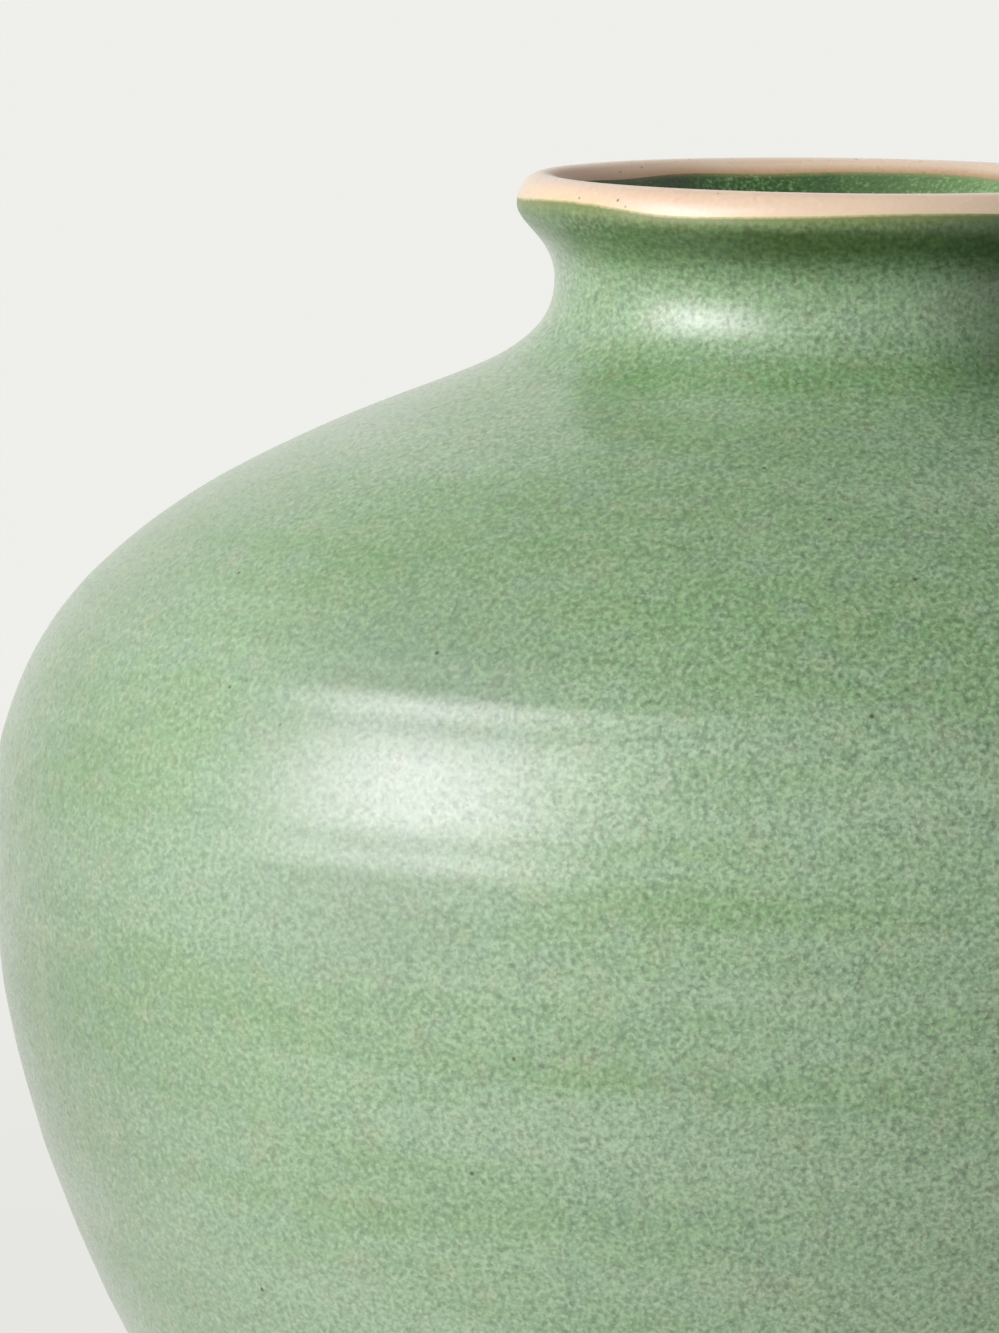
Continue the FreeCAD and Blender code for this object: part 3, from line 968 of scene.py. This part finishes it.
    # the gloss is drier at the thin edge and under the painted shade on the neck's right, and the darker
    # grains mirror less
    dryEdge = node(tree, "MapRange", {"Value": lipGap}, reach=g["dryReach"])
    dry = node(tree, "Math", {0: neckRightShade, 1: dryEdge}, operation="MAXIMUM")
    melt = node(tree, "MapRange", {"Value": dry}, reach=g["meltReach"])
    gloss = node(tree, "MapRange", {"Value": grain}, reach=g["glossReach"])
    coat = node(tree, "Math", {0: melt, 1: gloss}, operation="MULTIPLY")
    finishMaterial(tree, node(tree, "BsdfPrincipled", {
        "Base Color": colour, "Roughness": roughness, "Normal": bump, "IOR": g["ior"],
        "Specular IOR Level": g["specular"], "Coat Weight": coat, "Coat Roughness": g["coatRoughness"],
        "Coat IOR": g["coatIor"], "Coat Normal": bump,
    }))
    return material


# pale buff lip glaze, wiped thin over the rim: warm and slightly glossy, with fine rust specks

paleLipGlaze = {
    "rose": "#dfc2a5",
    "ivory": "#e2caad",
    # painted light on the lip's right
    "pale": "#f5e0c2",
    "straw": "#e2cf9c",
    "toast": "#b08f62",
    # painted shade inside the rim's left
    "leftRimShade": "#855229",
    "rust": "#5c3a25",
    "patch": 14.0,
    "patchReach": (0.3, 0.7),
    "grain": 0.9,
    "grainReach": (0.25, 0.75, 0.95, 1.04),
    "strawWidthReach": (-50.0, -32.0, 4.2, 0.7),   # from left to right the straw edge narrows
    "strawReach": (0.0, 1.0, 0.5, 0.0),
    "lipLitReach": (-25.0, 5.0, 0.0, 0.45),
    "toastBroken": -1.2,
    "toastReach": (-0.5, 1.8, 0.85, 0.0),
    "leftRimShadeSideReach": (-50.0, -20.0, 0.7, 0.0),
    "leftRimShadeInsideReach": (2.5, 6.5, 1.0, 0.0),
    "leftRimShadeRoughness": 0.6,
    "speckSpacing": 3.4,
    "speckRadius": 0.26,
    "speckEdge": (0.5, 1.5),
    "speckShare": 0.75,
    "relief": 0.2,
    "reliefDepth": 0.08,
    "ior": 1.5,
    "roughnessReach": (0.0, 1.0, 0.24, 0.30),
    "coatReach": (0.0, 1.0, 0.5, 0.0),
    "coatRoughness": 0.18,
    "specular": 0.4,
}


def lipGlazeMaterial():
    g = paleLipGlaze
    material, tree, place = newMaterial("paleBuffLipGlazeWiped")
    sideways = node(tree, "SeparateXYZ", {"Vector": place}, give="X")
    outerGap = node(tree, "Attribute", give="Fac", attribute_name="outerGap")
    innerGap = node(tree, "Attribute", give="Fac", attribute_name="innerGap")
    patch = node(tree, "TexNoise", {"Vector": place, "Scale": perMm(g["patch"]), "Detail": 4.0})
    patchShare = node(tree, "MapRange", {"Value": patch}, reach=g["patchReach"])
    grain = node(tree, "TexNoise", {"Vector": place, "Scale": perMm(g["grain"]), "Detail": 1.5})
    level = node(tree, "MapRange", {"Value": grain}, reach=g["grainReach"])
    colour = layered(tree, g["rose"], g, (patchShare, "ivory"))
    colour = node(tree, "VectorMath", {0: colour, "Scale": level}, operation="SCALE")
    # painted light: the lip is paler towards the right, evening out the key light's fall-off across it; straw
    # along its outer edge
    lipLitShare = node(tree, "MapRange", {"Value": sideways}, reach=inMm(g["lipLitReach"]))
    strawWidth = node(tree, "MapRange", {"Value": sideways}, reach=inMm(g["strawWidthReach"]))
    strawGap = node(tree, "Math", {0: outerGap, 1: strawWidth}, operation="DIVIDE")
    strawShare = node(tree, "MapRange", {"Value": strawGap}, reach=g["strawReach"])
    broken = node(tree, "Math", {0: grain, 1: g["toastBroken"], 2: innerGap}, operation="MULTIPLY_ADD")
    toastShare = node(tree, "MapRange", {"Value": broken}, reach=g["toastReach"])
    # painted shade: browner and darker on the left inside the rim, which faces away from the key light
    leftRimShadeSide = node(tree, "MapRange", {"Value": sideways}, reach=inMm(g["leftRimShadeSideReach"]))
    leftRimShadeInside = node(
        tree, "MapRange", {"Value": innerGap}, reach=g["leftRimShadeInsideReach"], interpolation_type="SMOOTHSTEP",
    )
    leftRimShadeShare = node(tree, "Math", {0: leftRimShadeSide, 1: leftRimShadeInside}, operation="MULTIPLY")
    rust = specks(tree, place, g)
    colour = layered(
        tree, colour, g, (lipLitShare, "pale"), (strawShare, "straw"), (toastShare, "toast"),
        (leftRimShadeShare, "leftRimShade"), (rust, "rust"),
    )
    bump = node(tree, "Bump", {"Height": grain, "Strength": g["relief"], "Distance": g["reliefDepth"] * mm})
    # the painted shade inside the rim is also rougher and less coated, so it mirrors less
    roughness = node(tree, "MapRange", {"Value": patchShare}, reach=g["roughnessReach"])
    roughness = node(
        tree, "Math", {0: leftRimShadeShare, 1: g["leftRimShadeRoughness"], 2: roughness}, operation="MULTIPLY_ADD",
    )
    coat = node(tree, "MapRange", {"Value": leftRimShadeShare}, reach=g["coatReach"])
    finishMaterial(tree, node(tree, "BsdfPrincipled", {
        "Base Color": colour, "Roughness": roughness, "Normal": bump, "IOR": g["ior"],
        "Specular IOR Level": g["specular"], "Coat Weight": coat, "Coat Roughness": g["coatRoughness"],
    }))
    return material


# green liner glaze, poured and swilled round the inside: the same green, thicker, darker and glossier

linerGlaze = {
    "deep": "#16290f",
    "middle": "#416833",
    "bright": "#8ab377",
    "toast": "#9a8a5a",
    # the next two are painted shade on the throat's left and painted light on its right
    "throatLeftShade": "#0f1a0c",
    "throatRightLight": "#8fb07a",
    "run": 18.0,
    "runDrawn": (1.0, 1.0, 0.35),
    "grain": 0.75,
    "grainShare": 0.9,
    "mottleReach": (0.66, 1.3),
    "middlePlace": 0.55,
    "toastBroken": 1.8,
    "toastReach": (0.8, 1.9, 1.0, 0.0),
    "throatShadeReach": (-46.0, -14.0, 0.95, 0.0),
    "throatShadeRoughness": 0.6,
    "throatLightReach": (-10.0, 30.0, 0.0, 0.5),
    "ripple": 4.0,
    "relief": 0.3,
    "reliefDepth": 0.3,
    "ior": 1.52,
    "roughnessReach": (0.3, 0.7, 0.20, 0.29),
}


def linerGlazeMaterial():
    g = linerGlaze
    material, tree, place = newMaterial("greenLinerGlazePoured")
    sideways = node(tree, "SeparateXYZ", {"Vector": place}, give="X")
    lipGap = node(tree, "Attribute", give="Fac", attribute_name="lipGap")
    runs = node(tree, "Mapping", {"Vector": place, "Scale": g["runDrawn"]})
    run = node(tree, "TexNoise", {"Vector": runs, "Scale": perMm(g["run"]), "Detail": 3.0})
    grain = node(tree, "TexNoise", {"Vector": place, "Scale": perMm(g["grain"]), "Detail": 2.0})
    mixed = node(tree, "Math", {0: grain, 1: g["grainShare"], 2: run}, operation="MULTIPLY_ADD")
    mottle = node(tree, "MapRange", {"Value": mixed}, reach=g["mottleReach"])
    colour = node(
        tree, "ValToRGB", {"Fac": mottle},
        stops=[(0.0, g["deep"]), (g["middlePlace"], g["middle"]), (1.0, g["bright"])],
    )
    broken = node(tree, "Math", {0: grain, 1: g["toastBroken"], 2: lipGap}, operation="MULTIPLY_ADD")
    toastShare = node(tree, "MapRange", {"Value": broken}, reach=g["toastReach"])
    # painted shade on the left of the throat and painted light on its right, where the key light reaches
    # inside
    throatShadeShare = node(tree, "MapRange", {"Value": sideways}, reach=inMm(g["throatShadeReach"]))
    throatLightShare = node(tree, "MapRange", {"Value": sideways}, reach=inMm(g["throatLightReach"]))
    colour = layered(tree, colour, g, (toastShare, "toast"), (throatShadeShare, "throatLeftShade"), (throatLightShare, "throatRightLight"))
    ripple = node(tree, "TexNoise", {"Vector": place, "Scale": perMm(g["ripple"]), "Detail": 1.0})
    bump = node(tree, "Bump", {"Height": ripple, "Strength": g["relief"], "Distance": g["reliefDepth"] * mm})
    roughness = node(tree, "MapRange", {"Value": grain}, reach=g["roughnessReach"])
    roughness = node(
        tree, "Math", {0: throatShadeShare, 1: g["throatShadeRoughness"], 2: roughness}, operation="MULTIPLY_ADD",
    )
    finishMaterial(tree, node(
        tree, "BsdfPrincipled",
        {"Base Color": colour, "Roughness": roughness, "Normal": bump, "IOR": g["ior"]},
    ))
    return material


# bare fired stoneware, trimmed on the wheel and sponged: dry, sandy and toasted, with iron and grog showing

bareStoneware = {
    "buff": "#c9b08d",
    "toast": "#b3946c",
    "pale": "#d8c6a8",
    "iron": "#5b4330",
    "cloud": 22.0,
    "cloudPlaces": (0.3, 0.5, 0.7),
    "sand": 0.45,
    "sandReach": (0.25, 0.75, 0.84, 1.12),
    "speckSpacing": 2.6,
    "speckRadius": 0.16,
    "speckEdge": (0.5, 1.5),
    "speckShare": 0.8,
    "trimLine": 1.4,
    "trimDrawn": (0.05, 0.05, 1.0),
    "trimShare": 1.5,
    "relief": 0.6,
    "reliefDepth": 0.12,
    "roughness": 0.86,
}


def bareClayMaterial():
    g = bareStoneware
    material, tree, place = newMaterial("bareStonewareTrimmed")
    cloud = node(tree, "TexNoise", {"Vector": place, "Scale": perMm(g["cloud"]), "Detail": 4.0})
    sand = node(tree, "TexNoise", {"Vector": place, "Scale": perMm(g["sand"]), "Detail": 2.0})
    clouds = list(zip(g["cloudPlaces"], (g["toast"], g["buff"], g["pale"])))
    colour = node(tree, "ValToRGB", {"Fac": cloud}, stops=clouds)
    level = node(tree, "MapRange", {"Value": sand}, reach=g["sandReach"])
    colour = node(tree, "VectorMath", {0: colour, "Scale": level}, operation="SCALE")
    colour = layered(tree, colour, g, (specks(tree, place, g), "iron"))
    trimmed = node(tree, "Mapping", {"Vector": place, "Scale": g["trimDrawn"]})
    trimLines = node(tree, "TexNoise", {"Vector": trimmed, "Scale": perMm(g["trimLine"]), "Detail": 2.0})
    relief = node(tree, "Math", {0: trimLines, 1: g["trimShare"], 2: sand}, operation="MULTIPLY_ADD")
    bump = node(tree, "Bump", {"Height": relief, "Strength": g["relief"], "Distance": g["reliefDepth"] * mm})
    finishMaterial(tree, node(
        tree, "BsdfPrincipled", {"Base Color": colour, "Roughness": g["roughness"], "Normal": bump},
    ))
    return material


def cloudedMaterial(name, g):
    # one noise gives both the colour and the relief
    material, tree, place = newMaterial(name)
    cloud = node(tree, "TexNoise", {"Vector": place, "Scale": perMm(g["cloud"]), "Detail": g["detail"]})
    colour = node(tree, "ValToRGB", {"Fac": cloud}, stops=g["stops"])
    bump = node(tree, "Bump", {"Height": cloud, "Strength": g["relief"], "Distance": g["reliefDepth"] * mm})
    finishMaterial(tree, node(
        tree, "BsdfPrincipled", {"Base Color": colour, "Roughness": g["roughness"], "Normal": bump},
    ))
    return material


# fired joint slip, brushed on as a thin clay cream and wiped: smoother and paler than the clay it joins

jointSlip = {
    "stops": [(0.35, "#b99d77"), (0.65, "#d3bf9e")],
    "cloud": 1.1,
    "detail": 3.0,
    "relief": 0.5,
    "reliefDepth": 0.08,
    "roughness": 0.8,
}

# acrylic adhesive film, die cut with the felt: a thin milky layer with trapped bubbles

acrylicFilm = {
    "stops": [(0.4, "#c4c0ae"), (0.6, "#d9d6c8")],
    "cloud": 0.9,
    "detail": 2.0,
    "relief": 0.3,
    "reliefDepth": 0.05,
    "roughness": 0.35,
}

# wool felt, pressed and die cut: matted fibres with a soft sheen

woolFelt = {
    "stops": [(0.6, "#5f5a52"), (1.0, "#7d776c")],
    "fibre": 0.3,         # coarser than real wool, which is too fine to show
    "fibreShare": 0.6,
    "distortion": 1.5,
    "mat": 1.6,
    "relief": 0.8,
    "reliefDepth": 0.2,
    "roughness": 0.95,
    "sheen": 0.4,
}


def feltMaterial():
    g = woolFelt
    material, tree, place = newMaterial("woolFeltPressed")
    mat = node(tree, "TexNoise", {"Vector": place, "Scale": perMm(g["mat"]), "Detail": 3.0})
    fibre = node(
        tree, "TexNoise",
        {"Vector": place, "Scale": perMm(g["fibre"]), "Detail": 2.0, "Distortion": g["distortion"]},
    )
    mixed = node(tree, "Math", {0: fibre, 1: g["fibreShare"], 2: mat}, operation="MULTIPLY_ADD")
    colour = node(tree, "ValToRGB", {"Fac": mixed}, stops=g["stops"])
    bump = node(tree, "Bump", {"Height": mixed, "Strength": g["relief"], "Distance": g["reliefDepth"] * mm})
    finishMaterial(tree, node(
        tree, "BsdfPrincipled",
        {"Base Color": colour, "Roughness": g["roughness"], "Normal": bump, "Sheen Weight": g["sheen"]},
    ))
    return material


makeOuterGlaze(greenGlazeMaterial())
makeLipGlaze(lipGlazeMaterial())
makeInnerGlaze(linerGlazeMaterial())
print("glaze coats made")

clay = bareClayMaterial()
slip = cloudedMaterial("firedJointSlipWiped", jointSlip)
makeLowerBody(clay)
makeFootRing(clay)
makeFootJointSlip(slip)
makeFeltPads(feltMaterial())
print("foot, heel and pads made")

for name, material in (
    ("shoulder", clay), ("neck_collar", clay), ("body_joint_slip", slip), ("neck_joint_slip", slip),
    ("pad_adhesive", cloudedMaterial("acrylicAdhesiveDieCut", acrylicFilm)),
):
    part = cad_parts[name]
    part.data.materials.clear()
    part.data.materials.append(material)
print("built-in pieces finished")


# floor, light and camera

studio = {
    "background": "#efefeb",
    "floorPale": "#f2f1ee",
    "floorRoughness": 0.9,
    "floorSpecular": 0.1,
    "floorFibre": 1.5,    # coarser than real paper fibre, which is too fine to show
    "floorRelief": 0.05,
    "floorReliefDepth": 0.1,
    "floorReach": 6000.0,
    "floorClear": (500.0, 1700.0, 0.78),   # the paper turns into the background's colour between these
    "fillWay": (-0.35, -0.937, 0.0),
    "fillFront": (0.0, 1.0, 0.03, 0.58),
    "fillTop": (0.1, 0.9, 0.0, 0.38),
    "backdropEnd": (0.55, 0.82, 1.0, 0.42),   # sines of the heights between which the backdrop fades out
    "keyTint": "#fff7ff",
    "keyPlace": (-975.0, -630.0, 770.0),
    "keyAim": (0.0, 0.0, 210.0),
    "keyLayers": [   # the softbox glows brighter towards its middle: width, height, watts
        (1560.0, 1480.0, 3.95), (1220.0, 1180.0, 4.3), (900.0, 880.0, 3.7),
        (620.0, 600.0, 2.1), (360.0, 340.0, 0.8),
    ],
    "keyLayerStep": 0.01,
}


def seenRays(tree):
    # what the camera sees, also in a mirror or through glass, and what it sees directly
    rays = node(tree, "LightPath").node.outputs
    seen = rays["Is Camera Ray"]
    for name in ("Is Glossy Ray", "Is Transmission Ray"):
        seen = node(tree, "Math", {0: seen, 1: rays[name]}, operation="MAXIMUM")
    return seen, rays["Is Camera Ray"]


def makeFloor():
    s = studio
    reach = s["floorReach"] * mm
    corners = [(-reach, -reach, 0), (reach, -reach, 0), (reach, reach, 0), (-reach, reach, 0)]
    mesh = bpy.data.meshes.new("floor")
    mesh.from_pydata(corners, [], [(0, 1, 2, 3)])
    floor = bpy.data.objects.new("floor", mesh)
    bpy.context.scene.collection.objects.link(floor)
    material, tree, place = newMaterial("paleStudioFloorPaper")
    distance = node(tree, "VectorMath", {0: place}, give="Value", operation="LENGTH")
    farShare = node(
        tree, "MapRange", {"Value": distance}, reach=inMm(s["floorClear"]), interpolation_type="SMOOTHSTEP",
    )
    fadeShare = node(tree, "Math", {0: farShare, 1: seenRays(tree)[0]}, operation="MULTIPLY")
    fibre = node(tree, "TexNoise", {"Vector": place, "Scale": perMm(s["floorFibre"]), "Detail": 2.0})
    bump = node(
        tree, "Bump", {"Height": fibre, "Strength": s["floorRelief"], "Distance": s["floorReliefDepth"] * mm},
    )
    paper = node(tree, "BsdfPrincipled", {
        "Base Color": s["floorPale"], "Roughness": s["floorRoughness"], "Normal": bump,
        "Specular IOR Level": s["floorSpecular"],
    })
    glow = node(tree, "Emission", {"Color": s["background"], "Strength": 1.0})
    faded = node(tree, "MixShader", {0: fadeShare, 1: paper, 2: glow})
    # from below the floor is clear
    underneath = node(tree, "NewGeometry", give="Backfacing")
    clear = node(tree, "BsdfTransparent")
    finishMaterial(tree, node(tree, "MixShader", {0: underneath, 1: faded, 2: clear}))
    mesh.materials.append(material)


def makeWorld():
    s = studio
    world = bpy.data.worlds.new("studio")
    bpy.context.scene.world = world
    world.use_nodes = True
    tree = world.node_tree
    tree.nodes.clear()
    way = node(tree, "TexCoord", give="Generated")
    climb = node(tree, "SeparateXYZ", {"Vector": way}, give="Z")
    # light comes back from the room behind the camera and from the ceiling
    towards = node(tree, "VectorMath", {0: way, 1: s["fillWay"]}, give="Value", operation="DOT_PRODUCT")
    front = node(tree, "MapRange", {"Value": towards}, reach=s["fillFront"])
    top = node(tree, "MapRange", {"Value": climb}, reach=s["fillTop"])
    fill = node(tree, "Math", {0: front, 1: top}, operation="ADD")
    # the white backdrop ends overhead, so what the glaze mirrors from above is dimmer
    mirrored = node(
        tree, "MapRange", {"Value": climb}, reach=s["backdropEnd"], interpolation_type="SMOOTHSTEP",
    )
    seen, direct = seenRays(tree)
    strength = node(tree, "Math", {0: direct, 1: mirrored}, operation="MAXIMUM")
    backdrop = node(tree, "Background", {"Color": s["background"], "Strength": strength})
    light = node(tree, "Background", {"Color": "#ffffff", "Strength": fill})
    node(tree, "OutputWorld", {"Surface": node(tree, "MixShader", {0: seen, 1: light, 2: backdrop})})


def makeKeyLight():
    place, aim = Vector(studio["keyPlace"]), Vector(studio["keyAim"])
    for layer, (width, height, watts) in enumerate(studio["keyLayers"]):
        lamp = bpy.data.lights.new("keySoftbox" + str(layer), "AREA")
        lamp.shape = "RECTANGLE"
        lamp.size, lamp.size_y = width * mm, height * mm
        lamp.energy = watts
        lamp.color = linear(studio["keyTint"])[:3]
        softbox = bpy.data.objects.new(lamp.name, lamp)
        softbox.location = place * (1 - studio["keyLayerStep"] * layer) * mm
        softbox.rotation_euler = (aim * mm - softbox.location).to_track_quat("-Z", "Y").to_euler()
        bpy.context.scene.collection.objects.link(softbox)


shot = {
    "distance": 1560.0,
    "height": 418.25,
    "yaw": 2.109,
    "pitch": 6.619,
    "roll": 0.628,
    "lens": 242.35,
    "sensor": 36.0,
    "clipEnd": 50000.0,
}


def makeCamera():
    s = shot
    camera = bpy.data.cameras.new("camera")
    camera.sensor_fit = "VERTICAL"
    camera.sensor_height = s["sensor"]
    camera.lens = s["lens"]
    camera.clip_end = s["clipEnd"] * mm
    yaw, pitch, roll = (math.radians(s[name]) for name in ("yaw", "pitch", "roll"))
    ahead = Vector((-math.sin(yaw) * math.cos(pitch), math.cos(yaw) * math.cos(pitch), -math.sin(pitch)))
    right = ahead.cross(Vector((0, 0, 1))).normalized()
    up = right.cross(ahead)
    right, up = right * math.cos(roll) + up * math.sin(roll), up * math.cos(roll) - right * math.sin(roll)
    taker = bpy.data.objects.new("camera", camera)
    place = Matrix.Translation(Vector((0, -s["distance"], s["height"])) * mm)
    taker.matrix_world = place @ Matrix((right, up, -ahead)).transposed().to_4x4()
    bpy.context.scene.collection.objects.link(taker)
    bpy.context.scene.camera = taker


makeFloor()
makeWorld()
makeKeyLight()
makeCamera()
bpy.context.scene.view_settings.view_transform = "Standard"
print("floor, light and camera placed")
